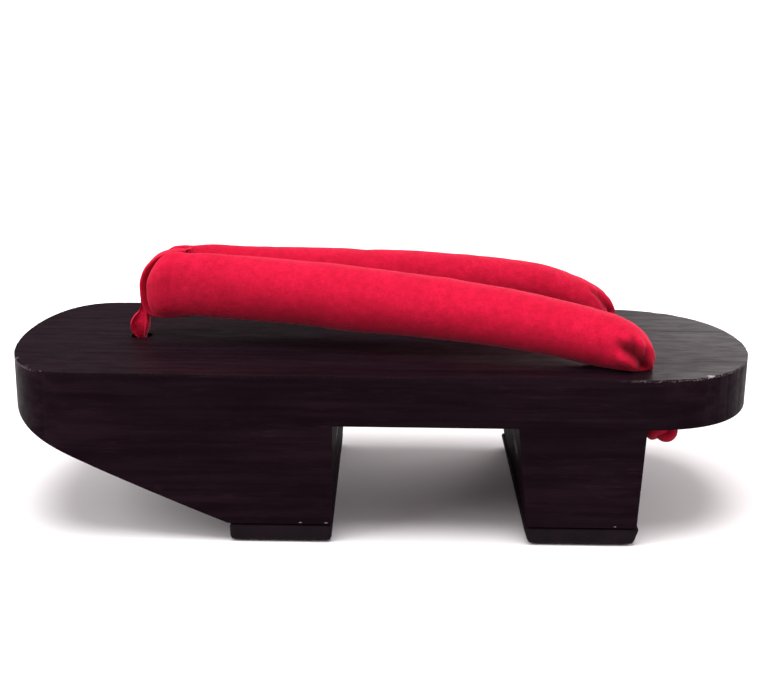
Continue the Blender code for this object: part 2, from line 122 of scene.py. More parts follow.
# Camera, found from the edges of the body in the photograph. The lens is the focal length in pixels
# over the picture's width, times the sensor's.
VIEW_SENSOR_MM = 36
VIEW_PLACE = Vector((-0.0021056, 0.4163147, 0.1671256))
VIEW_PITCH = 0.2746
VIEW_ROLL = 0.0138
VIEW_LENS_MM = 1287.97 / 780 * VIEW_SENSOR_MM


def ease(share):
    share = min(max(share, 0.0), 1.0)
    return share * share * (3 - 2 * share)


def rough(place, size, seed=0.0):
    """Smooth noise from about -1 to 1, with lumps of the given size."""
    return noise.noise(place / size + Vector((seed, -seed, seed * 0.5)))


def add_object(name, data):
    made = bpy.data.objects.new(name, data)
    bpy.context.scene.collection.objects.link(made)
    return made


def mesh_object(name, points, faces, smooth=True):
    mesh = bpy.data.meshes.new(name)
    mesh.from_pydata([tuple(p) for p in points], [], faces)
    mesh.validate()
    mesh.update()
    if smooth:
        mesh.shade_smooth()
    return add_object(name, mesh)


def baked(thing, name):
    """A mesh object with the evaluated shape of thing, which is removed."""
    bpy.context.view_layer.update()
    graph = bpy.context.evaluated_depsgraph_get()
    mesh = bpy.data.meshes.new_from_object(thing.evaluated_get(graph))
    mesh.name = name
    mesh.transform(thing.matrix_world)
    bpy.data.objects.remove(thing)
    return add_object(name, mesh)


def add_boolean(thing, other, operation):
    step = thing.modifiers.new(operation.lower(), "BOOLEAN")
    step.operation = operation
    step.object = other
    step.solver = "EXACT"


# Node helpers


def node(tree, kind, **settings):
    made = tree.nodes.new(kind)
    for key, value in settings.items():
        setattr(made, key, value)
    return made


def new_material(name):
    made = bpy.data.materials.new(name)
    made.use_nodes = True
    tree = made.node_tree
    return made, tree, tree.nodes["Principled BSDF"]


def axes_of(tree, vector):
    """The X, Y and Z outputs of a vector output."""
    split = node(tree, "ShaderNodeSeparateXYZ")
    tree.links.new(vector, split.inputs["Vector"])
    return split.outputs


def object_place(tree):
    return node(tree, "ShaderNodeTexCoord").outputs["Object"]


def surface_normal(tree):
    return node(tree, "ShaderNodeNewGeometry").outputs["Normal"]


def noise_field(tree, scale, detail, roughness, stretch=(1.0, 1.0, 1.0), shift=0.0):
    """A noise value in object space: scale is in lumps a metre along each axis, times stretch."""
    grid = node(tree, "ShaderNodeMapping")
    grid.inputs["Scale"].default_value = tuple(scale * s for s in stretch)
    grid.inputs["Location"].default_value = (shift, shift * 0.7, -shift)
    tree.links.new(object_place(tree), grid.inputs["Vector"])
    field = node(tree, "ShaderNodeTexNoise")
    field.inputs["Scale"].default_value = 1.0
    field.inputs["Detail"].default_value = detail
    field.inputs["Roughness"].default_value = roughness
    tree.links.new(grid.outputs["Vector"], field.inputs["Vector"])
    return field.outputs["Fac"]


def ramp(tree, value, low, high, low_out=0.0, high_out=1.0):
    made = node(tree, "ShaderNodeMapRange")
    made.interpolation_type = "SMOOTHSTEP"
    for key, number in (("From Min", low), ("From Max", high), ("To Min", low_out), ("To Max", high_out)):
        made.inputs[key].default_value = number
    tree.links.new(value, made.inputs["Value"])
    return made.outputs["Result"]


def calculate(tree, operation, first, second):
    """A math node's value, from numbers or outputs."""
    made = node(tree, "ShaderNodeMath", operation=operation)
    for slot, value in enumerate((first, second)):
        if isinstance(value, (int, float)):
            made.inputs[slot].default_value = value
        else:
            tree.links.new(value, made.inputs[slot])
    return made.outputs["Value"]


def times(tree, first, second):
    return calculate(tree, "MULTIPLY", first, second)


def plus(tree, first, second):
    return calculate(tree, "ADD", first, second)


# The mix node has several sockets of each name, so its colour ones are found by number
MIX_SHARE = 0
MIX_FIRST = 6
MIX_SECOND = 7
MIX_RESULT = 2


def colour_mix(tree, share, first, second):
    made = node(tree, "ShaderNodeMix", data_type="RGBA")
    for slot, value in ((MIX_SHARE, share), (MIX_FIRST, first), (MIX_SECOND, second)):
        if isinstance(value, (int, float)):
            made.inputs[slot].default_value = value
        elif isinstance(value, tuple):
            made.inputs[slot].default_value = (*value, 1.0)
        else:
            tree.links.new(value, made.inputs[slot])
    return made.outputs[MIX_RESULT]


def bump(tree, height, distance, strength, after=None):
    made = node(tree, "ShaderNodeBump")
    made.inputs["Strength"].default_value = strength
    made.inputs["Distance"].default_value = distance
    tree.links.new(height, made.inputs["Height"])
    if after is not None:
        tree.links.new(after, made.inputs["Normal"])
    return made.outputs["Normal"]


def near(tree, place_mm, reach_mm, weights):
    """1 at a place of the object, falling to 0 at the reach. Each axis' distance counts its weight."""
    away = node(tree, "ShaderNodeVectorMath", operation="SUBTRACT")
    away.inputs[1].default_value = tuple(c * MM for c in place_mm)
    tree.links.new(object_place(tree), away.inputs[0])
    scaled = node(tree, "ShaderNodeVectorMath", operation="MULTIPLY")
    scaled.inputs[1].default_value = weights
    tree.links.new(away.outputs["Vector"], scaled.inputs[0])
    length = node(tree, "ShaderNodeVectorMath", operation="LENGTH")
    tree.links.new(scaled.outputs["Vector"], length.inputs[0])
    return ramp(tree, length.outputs["Value"], 0.0, reach_mm * MM, 1.0, 0.0)


# Pale places on the wood, worn and painted: x, y and z of the middle, reach, the axes' weights, strength
WOOD_WEAR_AND_PAINTED_HIGHLIGHTS_MM = (
    # Painted highlight on the toe's rim
    (115.0, 30.0, 53.8, 3.6, (0.7, 0.7, 3.6), 0.52),
    (109.5, 37.5, 53.8, 3.2, (0.7, 0.7, 3.6), 0.45),
    # A chip in the toe's rim
    (103.6, 42.8, 53.8, 1.0, (0.8, 1.0, 2.0), 0.60),
    # Chips in the heel's rim
    (-91.2, 42.0, 53.8, 1.5, (0.7, 1.0, 3.0), 0.50),
    (-100.6, 39.4, 53.8, 2.6, (0.6, 0.8, 3.6), 0.80),
    (-103.8, 37.2, 53.8, 1.6, (0.7, 0.8, 3.4), 0.50),
    # Pale streaks on the heel's end wall
    (-107.5, 34.5, 44.1, 3.4, (0.5, 1.0, 6.0), 0.34),
    (-112.5, 28.5, 43.0, 3.4, (0.5, 1.0, 6.0), 0.30),
    # Painted reflection on the teeth's inner faces
    (15.2, 8.0, 23.8, 24.0, (1.0, 0.9, 4.4), 0.58),
    (15.2, 6.0, 16.0, 18.0, (1.0, 0.9, 2.6), 0.42),
    (-42.3, 20.0, 24.0, 26.0, (1.0, 1.0, 2.6), 0.50),
    # Pale specks at the feet of the teeth
    (25.2, 45.0, 6.3, 1.0, (0.6, 1.0, 2.0), 0.55),
    (17.1, 45.0, 6.3, 1.0, (0.6, 1.0, 2.0), 0.55),
    (-72.9, 45.0, 6.3, 1.0, (0.6, 1.0, 2.0), 0.55),
)


# Two long dull lines on the heel's top face
DULL_LINES_MM = ((-112.0, -14.0, 54.0), (-112.0, 23.0, 54.0))
DULL_LINE_REACH_MM = 34.0
DULL_LINE_WEIGHTS = (1.0, 40.0, 1.0)
DULL_LINE_SHINE = 0.42
WALL_SHINE = 0.25
INNER_FACE_SHINE = 0.05

# Colours of the wood, from its darkest patches to where it is rubbed or bare. The last two also paint a
# highlight on the toe's rim and reflection on the teeth's inner faces.
WOOD_CLOUD = (0.0045, 0.0018, 0.0034)
WOOD_DARK = (0.0062, 0.0026, 0.0046)
WOOD_BAND = (0.0125, 0.0056, 0.0092)
WOOD_PORE = (0.021, 0.011, 0.015)
WOOD_RUBBED_AND_HIGHLIT = (0.16, 0.125, 0.135)
WOOD_BARE_AND_HIGHLIT = (0.42, 0.36, 0.37)

RUBBER_DARK = (0.0060, 0.0030, 0.0048)
RUBBER_LIGHT = (0.0105, 0.0056, 0.0085)
RUBBER_GRIT = (0.045, 0.034, 0.040)

CLOTH_DARK = (0.46, 0.002, 0.024)
CLOTH_MID = (0.64, 0.005, 0.042)
CLOTH_LIGHT = (0.74, 0.018, 0.080)
# The next two are painted shade: under the cloth, and in its folds and over the ties
CLOTH_PAINTED_UNDER_SHADE = (0.13, 0.0006, 0.008)
CLOTH_PAINTED_FOLD_SHADE = (0.115, 0.0004, 0.006)
CLOTH_SHEEN_TINT = (1.0, 0.42, 0.55, 1.0)


def bare_and_highlit_places(tree, speckle):
    """How pale the wood is at its chips, pale streaks and specks, and where a highlight on the toe's rim
    and a reflection on the teeth's inner faces are painted. The speckle makes the edges ragged.
    """
    worn = None
    for x, y, z, reach, weights, strength in WOOD_WEAR_AND_PAINTED_HIGHLIGHTS_MM:
        spot = times(tree, near(tree, (x, y, z), reach, weights), strength)
        worn = spot if worn is None else calculate(tree, "MAXIMUM", worn, spot)
    ragged = ramp(tree, plus(tree, worn, times(tree, speckle, 0.9)), 0.82, 1.15)
    return times(tree, ragged, ramp(tree, worn, 0.0, 0.12))


def rubbed_and_highlit_rim(tree, speckle, height):
    """How rubbed the top rim is, with a painted highlight on the toe's rim. Below the rounding the
    attribute counts for nothing.
    """
    rim = node(tree, "ShaderNodeAttribute", attribute_name="rim_wear")
    at_rim = ramp(tree, height, TOP_Z - EDGE_ROUND * 0.9, TOP_Z - EDGE_ROUND * 0.5)
    rubbed_and_highlit = times(tree, rim.outputs["Fac"], ramp(tree, speckle, 0.42, 0.66))
    return times(tree, rubbed_and_highlit, at_rim)


def wood_shine(tree, place):
    """Blotchy on the top face, lower on the walls and lowest on the teeth's inner faces."""
    blotch = noise_field(tree, 330, 4, 0.62, stretch=(0.30, 1.0, 1.0), shift=11.0)
    shine = ramp(tree, blotch, 0.32, 0.68, 0.030, 0.066)
    for middle in DULL_LINES_MM:
        line = ramp(tree, near(tree, middle, DULL_LINE_REACH_MM, DULL_LINE_WEIGHTS), 0.1, 0.5)
        line = times(tree, line, ramp(tree, blotch, 0.30, 0.50, 0.3, 1.0))
        shine = times(tree, shine, ramp(tree, line, 0.0, 1.0, 1.0, DULL_LINE_SHINE))
    facing = axes_of(tree, surface_normal(tree))
    shine = times(tree, shine, ramp(tree, facing["Z"], 0.3, 0.8, WALL_SHINE, 1.0))
    upright = ramp(tree, calculate(tree, "ABSOLUTE", facing["X"], 0.0), 0.5, 0.7)
    under_plate = ramp(tree, place["Z"], UNDER_Z - 0.0004, UNDER_Z, 1.0, 0.0)
    start, end = FRONT_TOOTH_BACK + 0.0006, FRONT_TOOTH_BACK + 0.0011
    behind_tooth = ramp(tree, place["X"], start, end, 1.0, 0.0)
    inner = times(tree, times(tree, upright, under_plate), behind_tooth)
    return times(tree, shine, ramp(tree, inner, 0.0, 1.0, 1.0, INNER_FACE_SHINE))


def wood_material():
    made, tree, shader = new_material("dai_lacquered_wood")
    place = axes_of(tree, object_place(tree))
    fine = noise_field(tree, 1100, 4, 0.65, stretch=(0.09, 1.0, 1.0))
    broad = noise_field(tree, 330, 3, 0.55, stretch=(0.045, 1.0, 1.0), shift=3.1)
    cloud = noise_field(tree, 38, 2, 0.5, stretch=(0.5, 1.0, 1.0), shift=7.7)
    speckle = noise_field(tree, 1400, 3, 0.7, shift=1.3)
    pores = ramp(tree, fine, 0.56, 0.70)
    bands = ramp(tree, broad, 0.35, 0.70)
    worn_and_highlit = bare_and_highlit_places(tree, speckle)
    base = colour_mix(tree, bands, WOOD_DARK, WOOD_BAND)
    base = colour_mix(tree, times(tree, pores, 0.4), base, WOOD_PORE)
    base = colour_mix(tree, ramp(tree, cloud, 0.35, 0.7, 0.0, 0.5), base, WOOD_CLOUD)
    # The rubbed rim, with a painted highlight on the toe's rim
    base = colour_mix(tree, rubbed_and_highlit_rim(tree, speckle, place["Z"]), base, WOOD_RUBBED_AND_HIGHLIT)
    # Chips, pale streaks and specks, a painted highlight on the toe's rim and painted reflection on the
    # teeth's inner faces
    base = colour_mix(tree, worn_and_highlit, base, WOOD_BARE_AND_HIGHLIT)
    tree.links.new(base, shader.inputs["Base Color"])
    tree.links.new(wood_shine(tree, place), shader.inputs["Specular IOR Level"])
    gloss = ramp(tree, broad, 0.35, 0.65, 0.40, 0.46)
    gloss = plus(tree, gloss, times(tree, pores, 0.12))
    gloss = plus(tree, gloss, times(tree, worn_and_highlit, 0.3))
    tree.links.new(gloss, shader.inputs["Roughness"])
    height = plus(tree, times(tree, fine, -0.6), times(tree, broad, 0.8))
    grain = bump(tree, height, 0.00012, 0.5)
    orange_peel = noise_field(tree, 420, 2, 0.5, shift=5.0)
    tree.links.new(bump(tree, orange_peel, 0.0003, 0.10, grain), shader.inputs["Normal"])
    return made


def rubber_material():
    made, tree, shader = new_material("tap_rubber")
    grit = noise_field(tree, 1600, 4, 0.7)
    cloud = noise_field(tree, 120, 3, 0.6, shift=2.0)
    base = colour_mix(tree, ramp(tree, cloud, 0.3, 0.7), RUBBER_DARK, RUBBER_LIGHT)
    base = colour_mix(tree, ramp(tree, grit, 0.60, 0.78, 0.0, 0.4), base, RUBBER_GRIT)
    tree.links.new(base, shader.inputs["Base Color"])
    tree.links.new(ramp(tree, cloud, 0.2, 0.8, 0.62, 0.82), shader.inputs["Roughness"])
    shader.inputs["Specular IOR Level"].default_value = 0.07
    tree.links.new(bump(tree, grit, 0.0003, 0.6), shader.inputs["Normal"])
    return made


def fabric_material():
    """Mottled napped cloth, with painted shade where it faces down and painted shade from the fold_shade
    of its mesh.
    """
    made, tree, shader = new_material("crimson_cloth")
    cloudy = noise_field(tree, 420, 6, 0.62)
    fuzz = noise_field(tree, 1500, 3, 0.6, shift=8.8)
    mottle = plus(tree, times(tree, cloudy, 0.62), times(tree, fuzz, 0.38))
    patch = noise_field(tree, 95, 2, 0.5, shift=4.4)
    base = colour_mix(tree, ramp(tree, mottle, 0.28, 0.64), CLOTH_DARK, CLOTH_MID)
    base = colour_mix(tree, ramp(tree, mottle, 0.55, 0.80, 0.0, 0.6), base, CLOTH_LIGHT)
    base = colour_mix(tree, ramp(tree, patch, 0.35, 0.7, 0.0, 0.30), base, CLOTH_DARK)
    facing = axes_of(tree, surface_normal(tree))
    # Painted shade: darker where the cloth faces down
    base = colour_mix(tree, ramp(tree, facing["Z"], -0.7, 0.45, 0.55, 0.0), base, CLOTH_PAINTED_UNDER_SHADE)
    # Painted shade in the strap's creases and over the ties
    fold = node(tree, "ShaderNodeAttribute", attribute_name="fold_shade")
    base = colour_mix(tree, times(tree, fold.outputs["Fac"], 0.85), base, CLOTH_PAINTED_FOLD_SHADE)
    tree.links.new(base, shader.inputs["Base Color"])
    shader.inputs["Roughness"].default_value = 0.92
    shader.inputs["Specular IOR Level"].default_value = 0.15
    shader.inputs["Sheen Weight"].default_value = 0.16
    shader.inputs["Sheen Roughness"].default_value = 0.45
    shader.inputs["Sheen Tint"].default_value = CLOTH_SHEEN_TINT
    nap = noise_field(tree, 3600, 3, 0.7, shift=2.2)
    first = bump(tree, mottle, 0.0007, 0.5)
    tree.links.new(bump(tree, nap, 0.00018, 0.5, first), shader.inputs["Normal"])
    return made


# The wooden body


def end_quarter(round_length):
    """(distance in from the straight part, half width) points, evenly spaced, from the tip to a side."""
    fine = []
    for step in range(FINE_STEPS + 1):
        turn = math.pi / 2 * step / FINE_STEPS
        share = max(math.cos(turn), 0.0) if step < FINE_STEPS else 0.0
        along = round_length * share ** (2 / CORNER_FULLNESS)
        fine.append((along, WIDTH / 2 * math.sin(turn)))
    found = [fine[0]]
    for point in fine[1:]:
        if math.dist(point, found[-1]) >= RIM_STEP:
            found.append(point)
    found[-1] = fine[-1]
    return found


def body_outline():
    toe = [(LENGTH / 2 - TOE_ROUND + along, aside) for along, aside in end_quarter(TOE_ROUND)]
    heel = [(HEEL_ROUND - LENGTH / 2 - along, aside) for along, aside in end_quarter(HEEL_ROUND)]
    count = int((toe[-1][0] - heel[-1][0]) / RIM_STEP)
    run = heel[-1][0] - toe[-1][0]
    straight = [(toe[-1][0] + run * k / count, WIDTH / 2) for k in range(1, count)]
    left = toe + straight + heel[::-1]
    right = [(along, -aside) for along, aside in left[::-1]]
    return left + right[1:-1]


def slope_points():
    foot = Vector((FRONT_TOOTH_FRONT, FOOT_Z))
    tip = Vector((LENGTH / 2, TOP_Z - TOE_LIP))
    chord = tip - foot
    outward = Vector((chord.y, -chord.x)).normalized()
    last_share = (LENGTH / 2 - TOE_ROUND - foot.x) / chord.x * SLOPE_STRAIGHT_SHARE
    shares = [last_share * k / SLOPE_PIECES for k in range(SLOPE_PIECES + 1)] + [1.0]
    points = [foot + chord * s + outward * (4 * SLOPE_BULGE * s * (1 - s)) for s in shares]
    beyond = points[-1] + (points[-1] - points[-2]).normalized() * (TOE_LIP / 2)
    return [tuple(p) for p in points[:-1]] + [tuple(beyond)]


def side_profile():
    slope = slope_points()
    return [
        (-LENGTH, TOP_Z),
        (-LENGTH, UNDER_Z),
        (REAR_TOOTH_BACK, UNDER_Z),
        (REAR_TOOTH_BACK + REAR_TOOTH_BACK_TAPER, FOOT_Z),
        (REAR_TOOTH_FRONT - REAR_TOOTH_FRONT_TAPER, FOOT_Z),
        (REAR_TOOTH_FRONT, UNDER_Z),
        (FRONT_TOOTH_BACK, UNDER_Z),
        (FRONT_TOOTH_BACK, FOOT_Z),
        *slope,
        (slope[-1][0], TOP_Z),
    ]


def slab(name, points, low, high, upright=False):
    outline = bpy.data.curves.new(name, "CURVE")
    outline.dimensions = "2D"
    outline.fill_mode = "BOTH"
    outline.extrude = (high - low) / 2
    spline = outline.splines.new("POLY")
    spline.points.add(len(points) - 1)
    for point, (across, up) in zip(spline.points, points):
        point.co = (across, up, 0.0, 1.0)
    spline.use_cyclic_u = True
    made = add_object(name, outline)
    middle = (high + low) / 2
    if upright:
        made.rotation_euler = (math.pi / 2, 0.0, 0.0)
        made.location = (0.0, middle, 0.0)
    else:
        made.location = (0.0, 0.0, middle)
    made = baked(made, name)
    work = bmesh.new()
    work.from_mesh(made.data)
    bmesh.ops.remove_doubles(work, verts=work.verts, dist=0.00001)
    bmesh.ops.recalc_face_normals(work, faces=work.faces)
    work.to_mesh(made.data)
    work.free()
    return made


def under_edge_round(x):
    if x > 0:
        return EDGE_ROUND + (TOE_EDGE_ROUND - EDGE_ROUND) * ease((x - LENGTH / 2 + TOE_ROUND) / TOE_ROUND)
    return EDGE_ROUND + (HEEL_EDGE_ROUND - EDGE_ROUND) * ease((HEEL_ROUND - LENGTH / 2 - x) / HEEL_ROUND)


def mark_edges(mesh):
    work = bmesh.new()
    work.from_mesh(mesh)
    weights = work.edges.layers.float.new("bevel_weight_edge")
    for edge in work.edges:
        if len(edge.link_faces) != 2 or not edge.is_convex:
            continue
        if edge.calc_face_angle() < LEAST_EDGE_ANGLE:
            continue
        middle = (edge.verts[0].co + edge.verts[1].co) / 2
        upper = middle.z > TOP_Z - EDGE_ROUND
        rounding = EDGE_ROUND if upper else under_edge_round(middle.x)
        edge[weights] = rounding / HEEL_EDGE_ROUND
    work.to_mesh(mesh)
    work.free()


def turned(name, profile, matrix, sides=48):
    """A closed body turned about Z from (radius, height) points listed from the top down."""
    points = []
    faces = []
    for r, z in profile:
        for k in range(sides):
            turn = 2 * math.pi * k / sides
            points.append(matrix @ Vector((r * math.cos(turn), r * math.sin(turn), z)))
    for ring in range(len(profile) - 1):
        for k in range(sides):
            after = (k + 1) % sides
            a, b = ring * sides, (ring + 1) * sides
            faces.append((a + k, b + k, b + after, a + after))
    faces.append(tuple(range(sides)))
    last = (len(profile) - 1) * sides
    faces.append(tuple(last + k for k in reversed(range(sides))))
    return mesh_object(name, points, faces, smooth=False)


def hole_profile(radius, top, bottom):
    wide = radius + HOLE_FLARE
    return [
        (wide, top + radius),
        (wide, top),
        (radius + HOLE_FLARE * 0.3, top - HOLE_FLARE * 0.3),
        (radius, top - HOLE_FLARE),
        (radius, bottom + HOLE_FLARE),
        (wide, bottom),
        (wide, bottom - radius),
    ]


def rear_hole_length():
    return (TOP_Z - UNDER_Z) / math.cos(REAR_HOLE_SLANT)


def rear_hole_frame(side):
    place = Matrix.Translation((REAR_HOLE.x, side * REAR_HOLE.y, REAR_HOLE.z))
    return place @ Matrix.Rotation(REAR_HOLE_SLANT, 4, "Y")


# Nicks in the top rim: x, side, half length and depth
RIM_NICKS_MM = (
    (-86.0, 1, 1.0, 0.20),
    (-91.3, 1, 1.5, 0.40),
    (-99.8, 1, 0.9, 0.25),
    (-102.0, 1, 1.9, 0.55),
    (-107.2, 1, 1.0, 0.30),
    (-99.0, -1, 1.8, 0.50),
    (-106.0, -1, 1.3, 0.40),
    (103.6, 1, 0.9, 0.40),
    (96.0, -1, 1.1, 0.35),
)


# The wear of the rim: its depth, what the heel adds to it, and the size of its two kinds of lumps
RIM_WORN = 0.08 * MM
RIM_WORN_AT_HEEL = 0.20 * MM
RIM_LUMP = 0.0022
RIM_FINE_LUMP = 0.0009
RIM_WEAR_FROM = 0.062
RIM_WEAR_SPAN = 0.03
CLEAR_OF_HOLES = 0.009

# How rubbed its rounding is: everywhere a little, and fully behind the heel's place; before the toe's
# place it is fully pale, a painted highlight
LEAST_RUB = 0.03
HEEL_RUB_FROM = 0.070
HEEL_RUB_SPAN = 0.012
TOE_HIGHLIGHT_FROM = 0.104
TOE_HIGHLIGHT_SPAN = 0.006


def rim_wear(place):
    """How far the top rim is worn back at a place."""
    heel = ease((-place.x - RIM_WEAR_FROM) / RIM_WEAR_SPAN)
    amount = RIM_WORN + RIM_WORN_AT_HEEL * heel
    level = Vector((place.x, place.y, 0.0))
    lump = rough(level, RIM_LUMP, 3.0) + 0.6 * rough(level, RIM_FINE_LUMP, 8.0)
    worn = amount * max(0.4 + lump, 0.0)
    for x, side, half, depth in RIM_NICKS_MM:
        if place.y * side > 0:
            near_by = max(1 - ((place.x - x * MM) / (half * MM)) ** 2, 0.0)
            worn += depth * MM * near_by * (0.75 + 0.5 * rough(place, 0.0006, 5.0))
    return worn


def wear_rims(mesh):
    """Wears the top rim back, and writes how rubbed its rounding is, with a painted highlight at the toe,
    as the attribute rim_wear.
    """
    holes = [Vector((TOE_HOLE_X, 0.0))]
    holes += [Vector((REAR_HOLE.x, side * REAR_HOLE.y)) for side in (1, -1)]
    normals = [v.normal.copy() for v in mesh.vertices]
    rim_rub_and_highlight = mesh.attributes.new("rim_wear", "FLOAT", "POINT")
    for vertex, normal, value in zip(mesh.vertices, normals, rim_rub_and_highlight.data):
        place = vertex.co
        if place.z < TOP_Z - EDGE_ROUND * 1.05:
            continue
        if min((Vector(place.xy) - hole).length for hole in holes) < CLEAR_OF_HOLES:
            continue
        worn = rim_wear(place)
        out = Vector((normal.x, normal.y, 0.0)).normalized()
        depth = TOP_Z - place.z
        if depth < 0.00001:
            vertex.co -= out * worn
        elif depth > EDGE_ROUND * 0.97:
            vertex.co.z -= worn
        else:
            vertex.co -= normal * worn
            heel = ease((-place.x - HEEL_RUB_FROM) / HEEL_RUB_SPAN)
            # The toe's share is a painted highlight along the rim's rounding
            toe = ease((place.x - TOE_HIGHLIGHT_FROM) / TOE_HIGHLIGHT_SPAN)
            lumpy = 0.75 + 0.5 * rough(place, 0.004, 15.0)
            value.value = min(LEAST_RUB + (heel + toe) * lumpy, 1.0)


def build_body(material):
    outline = slab("outline", body_outline(), -WIDTH, WIDTH)
    block = slab("block", side_profile(), -WIDTH, WIDTH, upright=True)
    add_boolean(block, outline, "INTERSECT")
    body = baked(block, "body_cut")
    bpy.data.objects.remove(outline)
    mark_edges(body.data)
    step = body.modifiers.new("eased edges", "BEVEL")
    step.width = HEEL_EDGE_ROUND
    step.segments = RIM_SEGMENTS
    step.limit_method = "WEIGHT"
    step.use_clamp_overlap = True
    toe_frame = Matrix.Translation((TOE_HOLE_X, 0.0, 0.0))
    tools = [turned("toe_hole", hole_profile(TOE_HOLE_RADIUS, TOP_Z, UNDER_Z), toe_frame)]
    recess = [(TOE_RECESS_RADIUS, UNDER_Z), (TOE_RECESS_RADIUS + 0.0003, 0.0)]
    tools.append(turned("toe_recess", recess, toe_frame))
    rear_profile = hole_profile(REAR_HOLE_RADIUS, 0.0, -rear_hole_length())
    for side in (1, -1):
        tools.append(turned("rear_hole", rear_profile, rear_hole_frame(side)))
    for tool in tools:
        add_boolean(body, tool, "DIFFERENCE")
    body = baked(body, "dai_wood")
    for tool in tools:
        bpy.data.objects.remove(tool)
    wear_rims(body.data)
    body.data.shade_smooth()
    body.data.set_sharp_from_angle(angle=SHARP_ANGLE)
    level = body.modifiers.new("flat faces stay flat", "WEIGHTED_NORMAL")
    level.keep_sharp = True
    level.weight = 100
    body.data.materials.clear()
    body.data.materials.append(material)
    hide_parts("dai")
    return body


# The padded strap


def smooth_row(rows, share):
    last = len(rows) - 1
    index = 0
    while index < last - 1 and share > rows[index + 1][0]:
        index += 1
    before, start, end, after = (rows[min(max(index + k, 0), last)] for k in (-1, 0, 1, 2))
    span = end[0] - start[0]
    t = (share - start[0]) / span
    found = []
    for column in range(len(start)):
        slope_in = (end[column] - before[column]) / max(end[0] - before[0], 1e-5) * span
        slope_out = (after[column] - start[column]) / max(after[0] - start[0], 1e-5) * span
        found.append(
            (2 * t**3 - 3 * t**2 + 1) * start[column]
            + (t**3 - 2 * t**2 + t) * slope_in
            + (-2 * t**3 + 3 * t**2) * end[column]
            + (t**3 - t**2) * slope_out
        )
    return found


def round_off(distance, radius, fullness):
    share = min(max(distance / radius, 0.0), 1.0)
    return max(1 - (1 - share) ** fullness, 0.0) ** (1 / fullness)


def strap_section(run, side=1):
    """(x, y and z of the middle, half thickness, height above and below) at a share of the run."""
    _, aside, up, thick, tall = smooth_row(STRAP_ROWS_MM, run)
    along = STRAP_LENGTH * run
    x = STRAP_NOSE_X - along
    end = round_off(STRAP_LENGTH * (1 - run), *END_ROUND)
    aside_full = end * round_off(along, *NOSE_ROUND_ASIDE)
    top_full = end * round_off(along, *NOSE_ROUND_TOP)
    under_full = end * round_off(along, *NOSE_ROUND_UNDER)
    if side < 0:
        sag = ease((run - FAR_SAG_START) / FAR_SAG_SPAN)
        x += FAR_END_SHORT * sag
        up -= FAR_SAG_MM * sag
        tall -= FAR_FLATTER_MM * sag
    return x, aside * MM, up * MM, thick * MM * aside_full, tall * MM * top_full, tall * MM * under_full


def boxed(share, fullness):
    """A circle's cosine or sine, pushed towards a square's."""
    return math.copysign(abs(share) ** (2 / fullness), share)


def strap_points(side):
    least = STRAP_FIRST_RING / STRAP_LENGTH
    points = []
    for k in range(STRAP_RINGS):
        even = least + (1 - 2 * least) * k / (STRAP_RINGS - 1)
        run = even - STRAP_END_CROWDING * math.sin(2 * math.pi * even)
        x, y, z, half_thick, above, below = strap_section(run, side)
        fullness = 2.0 + NOSE_BOXINESS * (1 - ease(run / NOSE_BOXY_SHARE))
        for j in range(STRAP_SIDES):
            turn = 2 * math.pi * j / STRAP_SIDES
            across = y + half_thick * boxed(math.cos(turn), fullness)
            up = z + (above if turn < math.pi else below) * boxed(math.sin(turn), fullness)
            points.append(Vector((x, side * max(across, STRAP_HALF_GAP), max(up, STRAP_LOWEST))))
    return points


def ring_faces(rings, sides, flip=False):
    faces = []
    for ring in range(rings - 1):
        for k in range(sides):
            after = (k + 1) % sides
            a, b = ring * sides, (ring + 1) * sides
            face = (a + k, a + after, b + after, b + k)
            faces.append(face[::-1] if flip else face)
    first = tuple(range(sides))
    last = tuple((rings - 1) * sides + k for k in range(sides))
    faces.append(first if flip else first[::-1])
    faces.append(last[::-1] if flip else last)
    return faces


def closed_ring_faces(rings, sides):
    """The faces of a loop of rings, the last of which meets the first."""
    faces = []
    for ring in range(rings):
        for k in range(sides):
            after = (k + 1) % sides
            a, b = ring * sides, ((ring + 1) % rings) * sides
            faces.append((a + k, a + after, b + after, b + k))
    return faces


def outward(thing):
    work = bmesh.new()
    work.from_mesh(thing.data)
    bmesh.ops.recalc_face_normals(work, faces=work.faces)
    work.to_mesh(thing.data)
    work.free()
    thing.data.update()
    return thing


